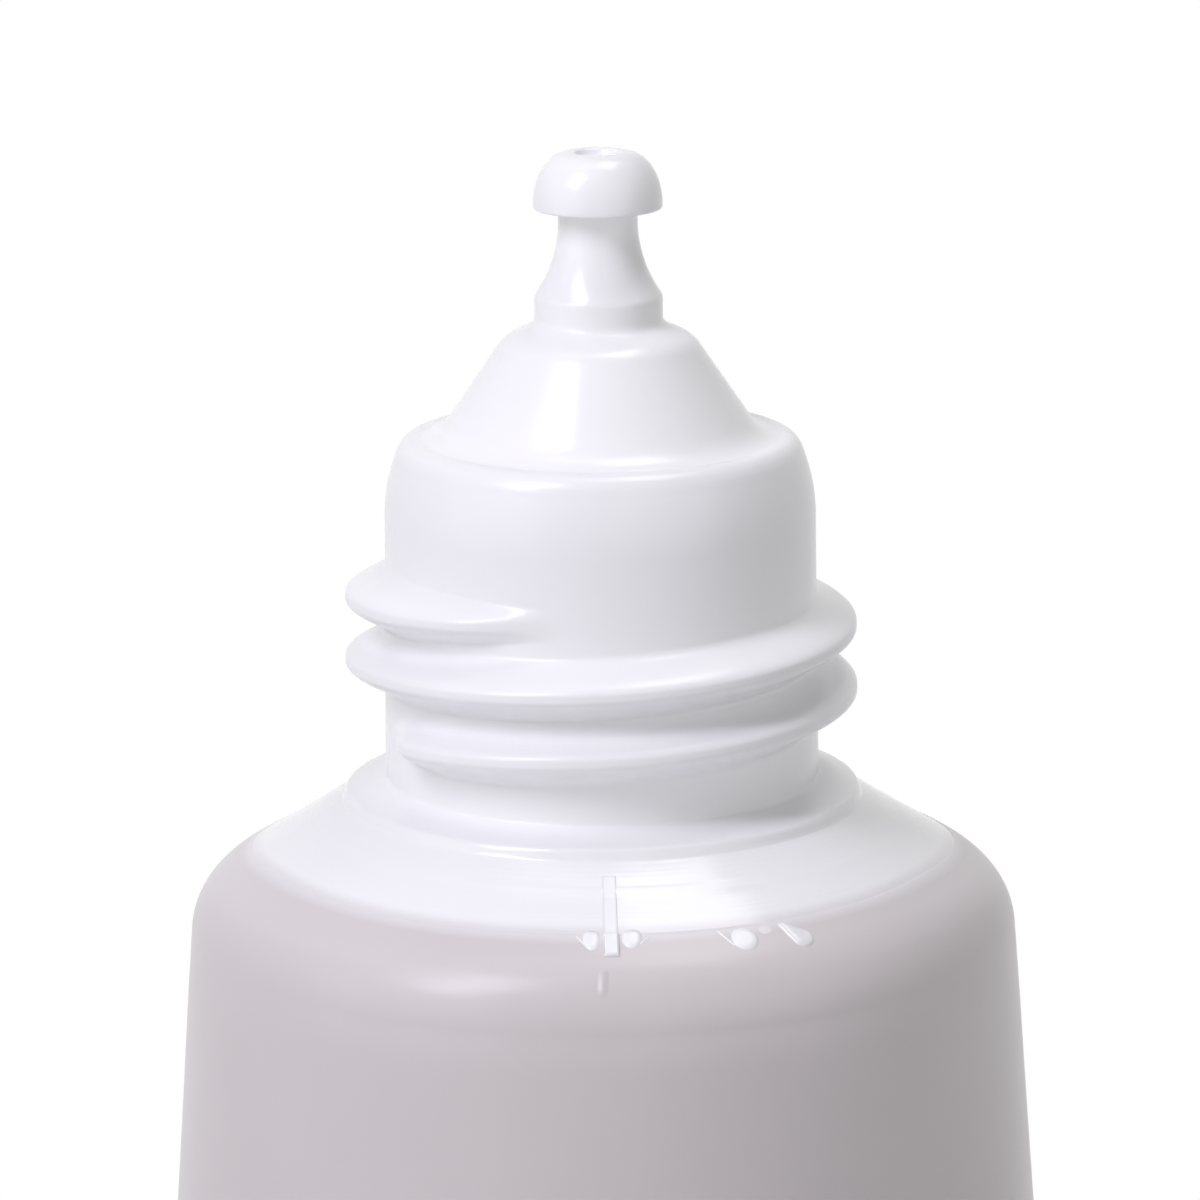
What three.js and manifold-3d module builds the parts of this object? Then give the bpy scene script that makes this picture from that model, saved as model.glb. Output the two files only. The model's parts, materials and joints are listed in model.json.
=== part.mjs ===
// A cosmetic squeeze tube with a press-in dropper nozzle. Millimetres, +Z up.
// The origin is the middle of the tail's lower edge, the flat tail lies along X, and the front faces -Y.
import * as THREE from 'three';
import { mergeVertices } from 'three/addons/utils/BufferGeometryUtils.js';
import Module from 'manifold-3d';

const wasm = await Module();
wasm.setup();

// Sleeve: an extruded plastic tube, round under the shoulder and welded flat at the tail
const SLEEVE_RADIUS = 12.5; // outside, where it is round
const SLEEVE_WALL = 0.5;
const BODY_HEIGHT = 91.45; // tail edge to the rounded corner under the shoulder
const CORNER_RADIUS = 2.4; // outside rounding between the wall and the shoulder
const SHOULDER_SLOPE = THREE.MathUtils.degToRad(31); // below the horizontal
const SLEEVE_LIP_RADIUS = 10.5; // where the sleeve's upper edge ends on the shoulder
const SEAL_HEIGHT = 6; // flat welded band of the tail
const SEAL_SLIT = 0.1; // gap between the two walls where the weld begins
const SEAL_EDGE_TAPER = 4; // how fast the weld thins out at its two sides
const FLATTEN_EASE = 1.1; // 1 is a straight wedge from round to flat

// Head: shoulder, collar and threaded neck in one moulding
const MOULD_GAP = 0.02; // between the sleeve and the head moulded into it
const SHOULDER_WALL = 1.2;
const SHOULDER_RISE = 1.58; // sleeve's upper edge to the foot of the collar
const SHOULDER_BOW = 0.12; // how far the shoulder bulges above a straight cone
const LIP_STEP = 0.06; // how far the sleeve's upper edge stands proud of the shoulder
const HEAD_SKIRT = 0.8; // how far the head reaches down inside the round sleeve
const COLLAR_RADIUS = 7.77;
const COLLAR_EDGE = 0.2;
const COLLAR_OVERHANG = 0.4;
const COLLAR_LIFT = 0.2; // collar edge above the shoulder
const COLLAR_RISE = 0.41; // slope of the collar's top up to the neck
const NECK_FOOT_RADIUS = 6.51;
const NECK_RADIUS = 6.44;
const NECK_FILLET = 0.3;
const NECK_HEIGHT = 10.71; // collar edge to rim
const RIM_TAPER_HEIGHT = 2.4;
const RIM_TAPER = 0.33; // how much the neck draws in towards the rim
const RIM_ROUND = 0.46;
const RIM_FLAT = 0.32; // width of the rim's flat top
const RIM_CHAMFER_DROP = 0.16;
const BORE_RADIUS = 4.98;
const BORE_DEPTH = 6.4; // rim to the ledge that the nozzle seats on
const LEDGE_WIDTH = 0.43;

// Thread on the neck: a rounded ridge, right-handed
const THREAD_RADIUS = 7.63;
const THREAD_PITCH = 1.93;
const THREAD_TURNS = 2.15;
const THREAD_START = THREE.MathUtils.degToRad(-70); // from the front, towards +X
const THREAD_FOOT = 2.23; // collar edge to the middle of the ridge where it starts
const THREAD_RUN_OUT = THREE.MathUtils.degToRad(40);
const THREAD_ROOT_HALF = 0.86;
const THREAD_CREST_HALF = 0.24;
const THREAD_SINK = 0.4; // how deep the ridge's root lies in the neck
const THREAD_END_SHARE = 0.1; // share of the ridge's height left at its two ends, inside the neck

// Nozzle: plug, cone, stem and tip in one moulding
const PLUG_CLEARANCE = 0.06;
const BEAD_CLEARANCE = 0.02;
const SEAT_CLEARANCE = 0.02;
const BEAD_HEIGHT = 0.7;
const BEAD_SPACING = 2.2;
const PLUG_LEAD_IN = 0.3;
const PLUG_WALL = 0.85;
const CONE_FOOT_DROP = 0.08; // where the cone meets the plug, below the rim
const CONE_HEIGHT = 2.76; // above the rim
const CONE_TOP_RADIUS = 3.0;
const CROWN_HEIGHT = 0.86; // rounded top of the cone, up to the band
const CROWN_ROUND = 0.6; // how long the crown keeps the cone's slope
const BAND_FILLET = 0.4; // how long the crown runs upright under the band
const BAND_RADIUS = 1.91;
const BAND_HEIGHT = 0.63;
const STEM_RADIUS = 1.18;
const STEM_FLARE_HEIGHT = 2.25;
const STEM_STRAIGHT = 0.37;
const TIP_RADIUS = 1.92;
const TIP_EDGE = 0.12; // upright edge of the mushroom tip
const TIP_HEIGHT = 1.67;
const TIP_FLAT_RADIUS = 0.95;
const ORIFICE_MOUTH_RADIUS = 0.63;
const ORIFICE_RADIUS = 0.35;
const ORIFICE_MOUTH_DEPTH = 0.45;
const ORIFICE_LAND = 0.8;
const FEED_RADIUS = 0.7;
const CONE_WALL = 0.9;

// Facets
const SEGMENTS = 40;
const ARC_STEPS = 6;
const SLEEVE_STEPS = 14;
const THREAD_STEP = THREE.MathUtils.degToRad(12);
const WELD = 1e-4;

const at = (radius, height) => new THREE.Vector2(radius, height);

// Points of a circular arc in a profile, angles counted from the outward radius towards +Z.
function arc(center, radius, from, to, steps = ARC_STEPS) {
  const points = [];
  for (let i = 0; i <= steps; i += 1) {
    const angle = THREE.MathUtils.lerp(from, to, i / steps);
    points.push(at(center.x + radius * Math.cos(angle), center.y + radius * Math.sin(angle)));
  }
  return points;
}

// Points of an arc that leaves one point upright and bends over to another.
function bend(upright, end) {
  const across = Math.abs(end.x - upright.x);
  const height = Math.abs(end.y - upright.y);
  const radius = (across ** 2 + height ** 2) / (2 * across);
  const turn = Math.atan2(height, radius - across) * Math.sign(end.y - upright.y);
  if (end.x < upright.x) return arc(at(upright.x - radius, upright.y), radius, 0, turn);
  return arc(at(upright.x + radius, upright.y), radius, Math.PI, Math.PI - turn);
}

// Shares one vertex between neighbouring triangles and drops those that have no area.
function weld(geometry) {
  geometry.deleteAttribute('normal');
  geometry.deleteAttribute('uv');
  const welded = mergeVertices(geometry, WELD);
  const corners = welded.index.array;
  const kept = [];
  for (let i = 0; i < corners.length; i += 3) {
    const [a, b, c] = corners.slice(i, i + 3);
    if (a !== b && b !== c && c !== a) kept.push(a, b, c);
  }
  welded.setIndex(kept);
  return welded;
}

// Revolves a profile about Z. The first facet edge lies at the front.
function revolve(profile) {
  const geometry = new THREE.LatheGeometry(profile, SEGMENTS);
  geometry.rotateX(Math.PI / 2);
  return weld(geometry);
}

function solid(geometry) {
  const vertProperties = new Float32Array(geometry.attributes.position.array);
  const triVerts = new Uint32Array(geometry.index.array);
  return new wasm.Manifold(new wasm.Mesh({ numProp: 3, vertProperties, triVerts }));
}

function geometryOf(manifold) {
  const mesh = manifold.getMesh();
  const geometry = new THREE.BufferGeometry();
  geometry.setAttribute('position', new THREE.BufferAttribute(mesh.vertProperties, 3));
  geometry.setIndex(new THREE.BufferAttribute(mesh.triVerts, 1));
  return geometry;
}

// The line that the sleeve follows from its upper edge, down the shoulder and round the corner,
// or a line parallel to it, a given depth inside.
const cornerCenter = at(SLEEVE_RADIUS - CORNER_RADIUS, BODY_HEIGHT);
const outward = at(Math.sin(SHOULDER_SLOPE), Math.cos(SHOULDER_SLOPE));
const upSlope = at(-outward.y, outward.x);
const coneFoot = cornerCenter.clone().addScaledVector(outward, CORNER_RADIUS);
const lip = coneFoot.clone().addScaledVector(upSlope, (coneFoot.x - SLEEVE_LIP_RADIUS) / outward.y);

function shoulderLine(depth) {
  const edge = lip.clone().addScaledVector(outward, -depth);
  const corner = arc(cornerCenter, CORNER_RADIUS - depth, Math.PI / 2 - SHOULDER_SLOPE, 0);
  return [edge, ...corner];
}

// Heights that the pieces share
const flattenStart = BODY_HEIGHT - HEAD_SKIRT;
const collarFoot = COLLAR_RADIUS - COLLAR_OVERHANG;
const collarZ = lip.y + SHOULDER_RISE + COLLAR_LIFT + COLLAR_EDGE;
const rimZ = collarZ + NECK_HEIGHT;
const ledgeZ = rimZ - BORE_DEPTH;

// Share of the way from round to flat at a height of the sleeve.
function flatness(z) {
  const share = THREE.MathUtils.clamp((flattenStart - z) / (flattenStart - SEAL_HEIGHT), 0, 1);
  return share ** FLATTEN_EASE;
}

// Presses the revolved sleeve flat towards its tail with its girth unchanged.
function pressTail(geometry) {
  const inside = SLEEVE_RADIUS - SLEEVE_WALL;
  const position = geometry.attributes.position;
  for (let i = 0; i < position.count; i += 1) {
    const z = position.getZ(i);
    const t = flatness(z);
    const radius = Math.hypot(position.getX(i), position.getY(i));
    if (t === 0 || radius < WELD) continue;
    const cosine = THREE.MathUtils.clamp(position.getX(i) / radius, -1, 1);
    const sine = position.getY(i) / radius;
    const layer = (radius - inside) / SLEEVE_WALL;
    const halfSeal = THREE.MathUtils.lerp(SEAL_SLIT / 2, SLEEVE_WALL, layer);
    const side = THREE.MathUtils.clamp(sine * SEAL_EDGE_TAPER, -1, 1);
    position.setX(i, THREE.MathUtils.lerp(radius * cosine, radius * Math.asin(cosine), t));
    position.setY(i, THREE.MathUtils.lerp(radius * sine, halfSeal * side, t));
  }
  return geometry;
}

function sleeve() {
  const wall = (radius) => {
    const points = [];
    for (let i = 0; i <= SLEEVE_STEPS; i += 1) {
      points.push(at(radius, THREE.MathUtils.lerp(flattenStart, SEAL_HEIGHT, i / SLEEVE_STEPS)));
    }
    return points;
  };
  const outside = [...shoulderLine(0), ...wall(SLEEVE_RADIUS), at(SLEEVE_RADIUS, 0)];
  const inside = [...shoulderLine(SLEEVE_WALL), ...wall(SLEEVE_RADIUS - SLEEVE_WALL)];
  const profile = [at(0, 0), ...outside.reverse(), ...inside, at(0, SEAL_HEIGHT)];
  return pressTail(revolve(profile));
}

// The shoulder's visible face: a shallow bow from the sleeve's edge up to the collar.
function shoulderFace() {
  const low = lip
    .clone()
    .addScaledVector(upSlope, MOULD_GAP)
    .addScaledVector(outward, -LIP_STEP);
  const high = at(collarFoot, collarZ - COLLAR_EDGE - COLLAR_LIFT);
  const middle = low.clone().lerp(high, 0.5).addScaledVector(outward, 2 * SHOULDER_BOW);
  return new THREE.QuadraticBezierCurve(low, middle, high).getPoints(ARC_STEPS);
}

// The neck draws in towards the rim on an arc, then rounds over to the flat top.
function neckTop() {
  const taperFoot = at(NECK_RADIUS, rimZ - RIM_TAPER_HEIGHT);
  const taperTop = at(NECK_RADIUS - RIM_TAPER, rimZ - RIM_ROUND);
  const taper = bend(taperFoot, taperTop);
  const flat = at(taperTop.x - RIM_ROUND, rimZ);
  const corner = at(taperTop.x, rimZ);
  const round = new THREE.QuadraticBezierCurve(taperTop, corner, flat).getPoints(ARC_STEPS);
  return [...taper, ...round.slice(1), at(flat.x - RIM_FLAT, rimZ)];
}

function threadRidge() {
  const length = THREAD_TURNS * 2 * Math.PI;
  const steps = Math.ceil(length / THREAD_STEP);
  const rootRadius = NECK_RADIUS - THREAD_SINK;
  const section = [
    [rootRadius, -THREAD_ROOT_HALF],
    [THREAD_RADIUS, -THREAD_CREST_HALF],
    [THREAD_RADIUS, THREAD_CREST_HALF],
    [rootRadius, THREAD_ROOT_HALF],
  ];
  const positions = [];
  const corners = [];
  for (let i = 0; i <= steps; i += 1) {
    const turned = (length * i) / steps;
    const fromEnd = Math.min(turned, length - turned);
    const runOut = THREE.MathUtils.smoothstep(fromEnd, 0, THREAD_RUN_OUT);
    const grown = THREE.MathUtils.lerp(THREAD_END_SHARE, 1, runOut);
    const angle = THREAD_START + turned;
    const middle = collarZ + THREAD_FOOT + (THREAD_PITCH * turned) / (2 * Math.PI);
    for (const [radius, offset] of section) {
      const r = THREE.MathUtils.lerp(rootRadius, radius, grown);
      positions.push(r * Math.sin(angle), -r * Math.cos(angle), middle + offset);
    }
  }
  const sides = section.length;
  for (let i = 0; i < steps; i += 1) {
    for (let j = 0; j < sides; j += 1) {
      const a = i * sides + j;
      const b = i * sides + ((j + 1) % sides);
      corners.push(a, a + sides, b, b, a + sides, b + sides);
    }
  }
  const last = steps * sides;
  corners.push(0, 1, 2, 0, 2, 3);
  corners.push(last, last + 2, last + 1, last, last + 3, last + 2);
  const geometry = new THREE.BufferGeometry();
  geometry.setAttribute('position', new THREE.BufferAttribute(new Float32Array(positions), 3));
  geometry.setIndex(corners);
  return geometry;
}

function head() {
  const sleeveInside = SLEEVE_WALL + MOULD_GAP;
  const skirtRadius = SLEEVE_RADIUS - sleeveInside;
  const seat = shoulderLine(sleeveInside);
  seat[0].addScaledVector(upSlope, MOULD_GAP);
  const under = shoulderLine(sleeveInside + SHOULDER_WALL);
  const throat = BORE_RADIUS - LEDGE_WIDTH;
  const throatFoot = under[0].clone().addScaledVector(upSlope, (under[0].x - throat) / outward.y);
  const neckFoot = at(NECK_FOOT_RADIUS, collarZ + COLLAR_RISE);
  const collarSlope = COLLAR_RISE / (COLLAR_RADIUS - NECK_FOOT_RADIUS);
  const fillet = new THREE.QuadraticBezierCurve(
    at(NECK_FOOT_RADIUS + NECK_FILLET, neckFoot.y - NECK_FILLET * collarSlope),
    neckFoot,
    at(NECK_FOOT_RADIUS, neckFoot.y + NECK_FILLET),
  ).getPoints(ARC_STEPS / 2);
  const profile = [
    at(skirtRadius, flattenStart),
    ...seat.reverse(),
    ...shoulderFace(),
    at(collarFoot, collarZ - COLLAR_EDGE),
    at(COLLAR_RADIUS, collarZ - COLLAR_EDGE),
    at(COLLAR_RADIUS, collarZ),
    ...fillet,
    ...neckTop(),
    at(BORE_RADIUS, rimZ - RIM_CHAMFER_DROP),
    at(BORE_RADIUS, ledgeZ),
    at(throat, ledgeZ),
    throatFoot,
    ...under.slice(1),
    at(skirtRadius - SHOULDER_WALL, flattenStart),
  ];
  profile.push(profile[0].clone());
  return geometryOf(solid(revolve(profile)).add(solid(threadRidge())));
}

// The plug's outside, from its lower end up to the cone, with two rounded sealing beads.
function plugSide(plugRadius, footZ) {
  const beadRise = PLUG_CLEARANCE - BEAD_CLEARANCE;
  const points = [at(plugRadius - PLUG_LEAD_IN, footZ), at(plugRadius, footZ + PLUG_LEAD_IN)];
  for (const bead of [1, 2]) {
    const beadZ = footZ + bead * BEAD_SPACING;
    points.push(at(plugRadius, beadZ - BEAD_HEIGHT / 2));
    points.push(at(plugRadius + beadRise, beadZ));
    points.push(at(plugRadius, beadZ + BEAD_HEIGHT / 2));
  }
  return points;
}

function nozzle() {
  const plugRadius = BORE_RADIUS - PLUG_CLEARANCE;
  const footZ = ledgeZ + SEAT_CLEARANCE;
  const coneFootZ = rimZ - CONE_FOOT_DROP;
  const coneTopZ = rimZ + CONE_HEIGHT;
  const bandFootZ = coneTopZ + CROWN_HEIGHT;
  const bandTopZ = bandFootZ + BAND_HEIGHT;
  const stemZ = bandTopZ + STEM_FLARE_HEIGHT;
  const tipFootZ = stemZ + STEM_STRAIGHT;
  const tipTopZ = tipFootZ + TIP_HEIGHT;

  const coneSlope = (plugRadius - CONE_TOP_RADIUS) / (coneTopZ - coneFootZ);
  const coneSide = Math.hypot(1, coneSlope);
  const coneTop = at(CONE_TOP_RADIUS, coneTopZ);
  const bandFoot = at(BAND_RADIUS, bandFootZ);
  const crown = new THREE.CubicBezierCurve(
    coneTop,
    at(coneTop.x - (CROWN_ROUND * coneSlope) / coneSide, coneTop.y + CROWN_ROUND / coneSide),
    at(bandFoot.x, bandFoot.y - BAND_FILLET),
    bandFoot,
  ).getPoints(ARC_STEPS);
  const flare = bend(at(STEM_RADIUS, stemZ), at(BAND_RADIUS, bandTopZ)).reverse();
  const dome = bend(at(TIP_RADIUS, tipFootZ + TIP_EDGE), at(TIP_FLAT_RADIUS, tipTopZ));

  const wallAcross = CONE_WALL * coneSide;
  const hollowRadius = plugRadius - PLUG_WALL;
  const hollowFootZ = coneFootZ - (wallAcross - PLUG_WALL) / coneSlope;
  const roof = at(CONE_TOP_RADIUS - wallAcross + CONE_WALL * coneSlope, coneTopZ - CONE_WALL);
  const landTopZ = tipTopZ - ORIFICE_MOUTH_DEPTH;

  const profile = [
    at(hollowRadius, footZ),
    ...plugSide(plugRadius, footZ),
    at(plugRadius, coneFootZ),
    ...crown,
    ...flare,
    at(STEM_RADIUS, tipFootZ),
    at(TIP_RADIUS, tipFootZ),
    ...dome,
    at(ORIFICE_MOUTH_RADIUS, tipTopZ),
    at(ORIFICE_RADIUS, landTopZ),
    at(ORIFICE_RADIUS, landTopZ - ORIFICE_LAND),
    at(FEED_RADIUS, landTopZ - ORIFICE_LAND),
    at(FEED_RADIUS, coneTopZ),
    roof,
    at(hollowRadius, hollowFootZ),
    at(hollowRadius, footZ),
  ];
  return revolve(profile);
}

const sleevePlastic = new THREE.MeshStandardMaterial({ color: '#b7afb0', roughness: 0.42, metalness: 0 });
const whitePlastic = new THREE.MeshStandardMaterial({ color: '#f2f2f4', roughness: 0.38, metalness: 0 });

function piece(name, geometry, material) {
  geometry.computeVertexNormals();
  const mesh = new THREE.Mesh(geometry, material);
  mesh.name = name;
  return mesh;
}

const tube = new THREE.Group();
tube.add(piece('tube_sleeve', sleeve(), sleevePlastic));
tube.add(piece('tube_head', head(), whitePlastic));
tube.add(piece('dropper_nozzle', nozzle(), whitePlastic));

export default tube;
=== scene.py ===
# %% [markdown]
# # A squeeze tube with a dropper nozzle
#
# The object is a small cosmetic tube: a satin taupe sleeve, a white moulded head with a threaded neck, and a
# white dropper nozzle pressed into that neck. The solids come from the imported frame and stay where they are.
# Here each one gets a finer skin of the same size, with rounded edges, moulding marks and real plastic.

# %% Load the frame
import json
import math

import bpy
import numpy as np
from mathutils import Matrix, Vector
from mathutils.geometry import interpolate_bezier


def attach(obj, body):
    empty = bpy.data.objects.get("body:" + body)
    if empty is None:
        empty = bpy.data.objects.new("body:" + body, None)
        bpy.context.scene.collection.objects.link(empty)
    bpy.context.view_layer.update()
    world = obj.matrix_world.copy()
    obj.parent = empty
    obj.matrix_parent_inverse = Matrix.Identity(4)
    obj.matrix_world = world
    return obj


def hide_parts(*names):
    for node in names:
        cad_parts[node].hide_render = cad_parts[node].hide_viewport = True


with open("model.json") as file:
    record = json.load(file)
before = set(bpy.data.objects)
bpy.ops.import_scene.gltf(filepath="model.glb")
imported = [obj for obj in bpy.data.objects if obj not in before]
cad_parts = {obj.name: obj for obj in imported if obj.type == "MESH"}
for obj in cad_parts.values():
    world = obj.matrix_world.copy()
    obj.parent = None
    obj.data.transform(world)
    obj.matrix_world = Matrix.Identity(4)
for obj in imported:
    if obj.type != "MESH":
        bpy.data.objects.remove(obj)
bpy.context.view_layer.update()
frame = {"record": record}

# %% [markdown]
# ## Heights that everything hangs from
#
# The neck's rim is a mount in the record, so its height is read from there. The collar's edge lies a neck's
# height below it. All sizes below are millimetres, and a profile point is a radius and a height.

# %% Heights from the frame
MM = 0.001
mount_at = {mount["name"]: mount["pos_m"] for mount in frame["record"]["mounts"]}
NECK_HEIGHT = 10.71
rim_z = mount_at["neck_rim"][2] / MM
collar_z = rim_z - NECK_HEIGHT
print(f"rim at {rim_z:.2f} mm, collar at {collar_z:.2f} mm")

# %% [markdown]
# ## Drawing a profile
#
# Three round pieces are turned from half outlines, the way a mould maker draws them: straight stretches,
# arcs, rounded corners and a few free curves. A spacing says how close the points lie, so that hidden walls
# stay light and visible roundings stay smooth.

# %% Profile helpers
FINE, COARSE = 0.06, 0.6


def straight(start, end, spacing=COARSE):
    """Points from start to end, both included."""
    start, end = np.array(start, dtype=float), np.array(end, dtype=float)
    count = max(1, math.ceil(np.linalg.norm(end - start) / spacing))
    return [tuple(start + (end - start) * i / count) for i in range(count + 1)]


def arc(center, radius, start, end, spacing=FINE):
    """Points of a circular arc. Angles are radians from the outward direction, towards up."""
    count = max(3, math.ceil(abs(end - start) * radius / spacing))
    angles = [start + (end - start) * i / count for i in range(count + 1)]
    return [(center[0] + radius * math.cos(a), center[1] + radius * math.sin(a)) for a in angles]


def bend(upright, end, spacing=FINE):
    """Points of an arc that leaves one point upright and bends over to another."""
    across, height = abs(end[0] - upright[0]), abs(end[1] - upright[1])
    radius = (across**2 + height**2) / (2 * across)
    turn = math.copysign(math.atan2(height, radius - across), end[1] - upright[1])
    if end[0] < upright[0]:
        return arc((upright[0] - radius, upright[1]), radius, 0, turn, spacing)
    return arc((upright[0] + radius, upright[1]), radius, math.pi, math.pi - turn, spacing)


def free_curve(start, start_handle, end_handle, end, count=12):
    """Points of a Bezier curve."""
    knots = [Vector((*point, 0)) for point in (start, start_handle, end_handle, end)]
    return [(point.x, point.y) for point in interpolate_bezier(*knots, count)]


def drawn(*corners, spacing=COARSE):
    """Points of a line through corners (radius, height), or (radius, height, rounding) for a round corner."""
    places = [np.array(corner[:2], dtype=float) for corner in corners]
    stops = [[tuple(places[0])]]
    for before, here, after, corner in zip(places, places[1:], places[2:], corners[1:]):
        if len(corner) == 2:
            stops.append([tuple(here)])
            continue
        start = here + (before - here) / np.linalg.norm(before - here) * corner[2]
        end = here + (after - here) / np.linalg.norm(after - here) * corner[2]
        stops.append(free_curve(start, (start + 2 * here) / 3, (end + 2 * here) / 3, end, 7))
    stops.append([tuple(places[-1])])
    line = []
    for stop, following in zip(stops, stops[1:]):
        line += stop + straight(stop[-1], following[0], spacing)
    return line + stops[-1]


def joined(*stretches):
    """One outline of several stretches, with no point twice in a row."""
    outline = [tuple(map(float, stretches[0][0]))]
    for point in (point for stretch in stretches for point in stretch):
        if math.dist(point, outline[-1]) > 1e-4:
            outline.append(tuple(map(float, point)))
    return outline


# %% [markdown]
# ## Turning a profile
#
# By hand this is one vertex, extruded from point to point along the outline, and then spun once around the
# axis. The spin leaves a double seam, so doubles are merged before the faces are turned outwards.

# %% Lathe helper
def turned(name, outline, steps):
    """A closed piece spun from an outline of (radius, height) in millimetres."""
    bpy.ops.object.select_all(action="DESELECT")
    bpy.ops.mesh.primitive_plane_add(size=MM)
    piece = bpy.context.object
    piece.name = piece.data.name = name
    bpy.ops.object.mode_set(mode="EDIT")
    bpy.ops.mesh.select_all(action="SELECT")
    bpy.ops.mesh.merge(type="CENTER")
    bpy.ops.transform.translate(value=(outline[0][0] * MM, 0, outline[0][1] * MM))
    for here, there in zip(outline, outline[1:]):
        step = ((there[0] - here[0]) * MM, 0, (there[1] - here[1]) * MM)
        bpy.ops.mesh.extrude_vertices_move(TRANSFORM_OT_translate={"value": step})
    bpy.ops.mesh.select_all(action="SELECT")
    bpy.ops.mesh.spin(steps=steps, angle=math.tau, center=(0, 0, 0), axis=(0, 0, 1))
    close_mesh()
    print(name, "outline points", len(outline), "faces", len(piece.data.polygons))
    return piece


def close_mesh():
    """Merges double points, turns all faces outwards, shades smooth and leaves edit mode."""
    bpy.ops.mesh.select_all(action="SELECT")
    bpy.ops.mesh.remove_doubles(threshold=0.001 * MM)
    bpy.ops.mesh.normals_make_consistent(inside=False)
    bpy.ops.mesh.faces_shade_smooth()
    bpy.ops.object.mode_set(mode="OBJECT")


def points_of(piece):
    """The piece's vertices in millimetres, one row each."""
    flat = np.empty(len(piece.data.vertices) * 3)
    piece.data.vertices.foreach_get("co", flat)
    return flat.reshape(-1, 3) / MM


def move_points(piece, points):
    """Puts vertices back after a sculpting step."""
    piece.data.vertices.foreach_set("co", (points * MM).ravel())
    piece.data.update()


def smoothstep(x, low, high):
    """0 below low, 1 above high, with a soft start and end."""
    t = np.clip((np.asarray(x, dtype=float) - low) / (high - low), 0, 1)
    return t * t * (3 - 2 * t)


# %% [markdown]
# ## The shoulder line that sleeve and head share
#
# The sleeve folds over the shoulder on a cone, rounds the corner and runs down as the tube's wall. The head
# is moulded into that fold. Both outlines take their points from this one line, at different depths. The
# sleeve's edge thins out to a lip that lies on the head, so that no gap opens between them.

# %% Shoulder line
SLEEVE_RADIUS = 12.5
SLEEVE_WALL = 0.5
CORNER_RADIUS = 2.4
SHOULDER_SLOPE = math.radians(31)
LIP_RADIUS = 10.5
LIP_THICKNESS, LIP_ROUND = 0.02, 0.2
LIP_END_RADIUS = 11.1
LIP_DROP = 1.98

lip_z = collar_z - LIP_DROP
outward = np.array([math.sin(SHOULDER_SLOPE), math.cos(SHOULDER_SLOPE)])
up_slope = np.array([-outward[1], outward[0]])
lip = np.array([LIP_RADIUS, lip_z])
corner_x = SLEEVE_RADIUS - CORNER_RADIUS
cone_foot_x = corner_x + CORNER_RADIUS * outward[0]
cone_length = (cone_foot_x - LIP_RADIUS) / outward[1]
corner_z = lip_z - cone_length * outward[0] - CORNER_RADIUS * outward[1]


def on_cone(radius, depth=0):
    """The point of the shoulder's cone at a radius, and a depth inside the sleeve's skin."""
    skin = lip - (radius - LIP_RADIUS) / outward[1] * up_slope
    return skin - depth * outward


def corner_round(depth, spacing=FINE):
    """The rounded corner from the cone to the upright wall, a depth inside the skin."""
    return arc((corner_x, corner_z), CORNER_RADIUS - depth, math.pi / 2 - SHOULDER_SLOPE, 0, spacing)


print(f"corner of the sleeve at {corner_z:.2f} mm, its upper edge at {lip_z:.2f} mm")

# %% [markdown]
# ## Head: outline
#
# The head is one injection moulding. From the sleeve's edge the shoulder climbs to a thin collar, a little
# steeper at the top, and meets the collar's edge, which is rounded by about a tenth of a millimetre, in a
# small hollow. The collar's top slopes up into the neck, and the neck draws in near the top and rounds over
# into the rim. Inside are the bore for the nozzle's plug, the ledge it seats on and the throat.

# %% Head outline
MOULD_GAP = 0.02
SHOULDER_WALL = 1.2
FACE_BREAK_RADIUS, FACE_INNER_SLOPE = 9.1, math.radians(34.5)
HEAD_SKIRT = 0.8
COLLAR_RADIUS, COLLAR_RISE = 7.77, 0.41
COLLAR_ROUND, COLLAR_FILLET = 0.14, 0.1
NECK_FOOT_RADIUS, NECK_RADIUS, NECK_FILLET = 6.51, 6.44, 0.08
RIM_TAPER_HEIGHT, RIM_TAPER, RIM_ROUND, RIM_EDGE = 2.4, 0.31, 0.62, 0.06
RIM_SIDE_HANDLE, RIM_TOP_HANDLE = (0.1, 0.24), (0.28, 0)
BORE_RADIUS, BORE_DEPTH, BORE_EDGE, LEDGE_WIDTH = 4.98, 6.4, 0.3, 0.43
THREAD_SPACING = 0.045
THREAD_ZONE = (1.0, 7.8)

flatten_z = corner_z - HEAD_SKIRT
ledge_z = rim_z - BORE_DEPTH
inside = SLEEVE_WALL + MOULD_GAP
taper_foot = (NECK_RADIUS, rim_z - RIM_TAPER_HEIGHT)
taper_top = (NECK_RADIUS - RIM_TAPER, rim_z - RIM_ROUND)
rim_outer = (taper_top[0] - RIM_ROUND, rim_z)
rim_side, rim_top = ((taper_top[0] - x, rim_z - y) for x, y in (RIM_SIDE_HANDLE, RIM_TOP_HANDLE))
bore_top = (BORE_RADIUS, rim_z - BORE_EDGE)
throat_top = (BORE_RADIUS - LEDGE_WIDTH, ledge_z)
under_cone = on_cone(cone_foot_x, inside + SHOULDER_WALL)
throat_foot = (throat_top[0], under_cone[1] + (under_cone[0] - throat_top[0]) * math.tan(SHOULDER_SLOPE))
skirt_outer = (SLEEVE_RADIUS - inside, flatten_z)
skirt_inner = (skirt_outer[0] - SHOULDER_WALL, flatten_z)
face_break = on_cone(FACE_BREAK_RADIUS, LIP_THICKNESS)


def on_face(radius):
    """A point of the shoulder's steeper inner stretch."""
    return (radius, face_break[1] + (face_break[0] - radius) * math.tan(FACE_INNER_SLOPE))


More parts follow.
